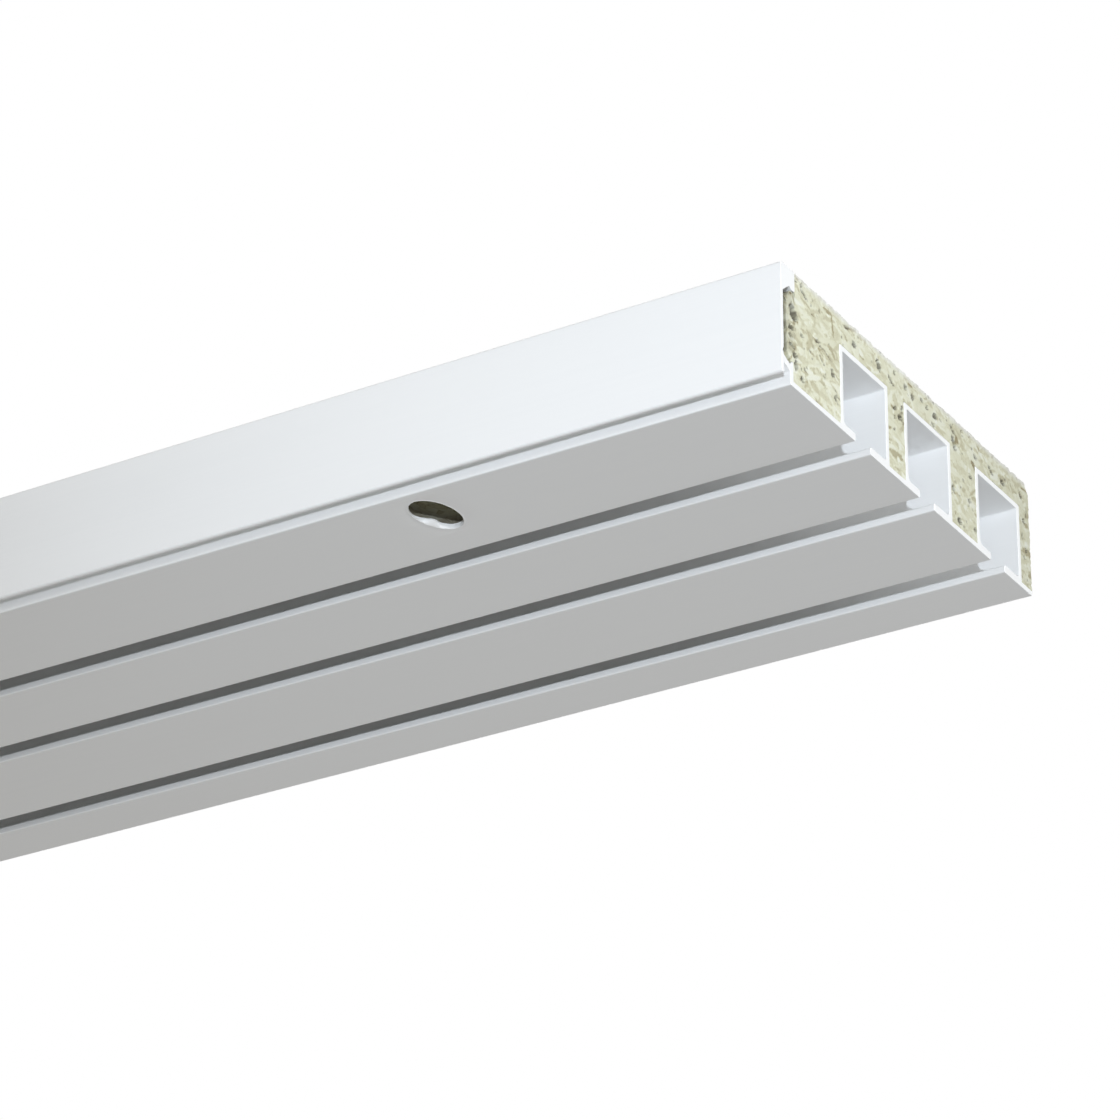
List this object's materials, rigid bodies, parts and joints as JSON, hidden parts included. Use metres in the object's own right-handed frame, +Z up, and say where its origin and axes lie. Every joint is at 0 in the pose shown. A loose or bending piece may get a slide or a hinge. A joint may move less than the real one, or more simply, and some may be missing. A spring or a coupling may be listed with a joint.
{
  "type": "curtain track",
  "caption": "Ceiling curtain track: white plastic profile with slotted roller channels and a fascia groove, on a chipboard core, screwed up through oval recesses.",
  "frame": {"origin": "middle of the track, on its underside", "axes": "+X along the track to the sawn end in the picture, +Y from the room-side front plate to the back, +Z up to the ceiling"},
  "size_m": [1.2, 0.09, 0.022],
  "materials": {
    "white_plastic": "satin",
    "chipboard": "raw sawn"
  },
  "bodies": {
    "root": {"track_profile": "white_plastic", "chipboard_core": "chipboard"}
  },
  "joints": []
}
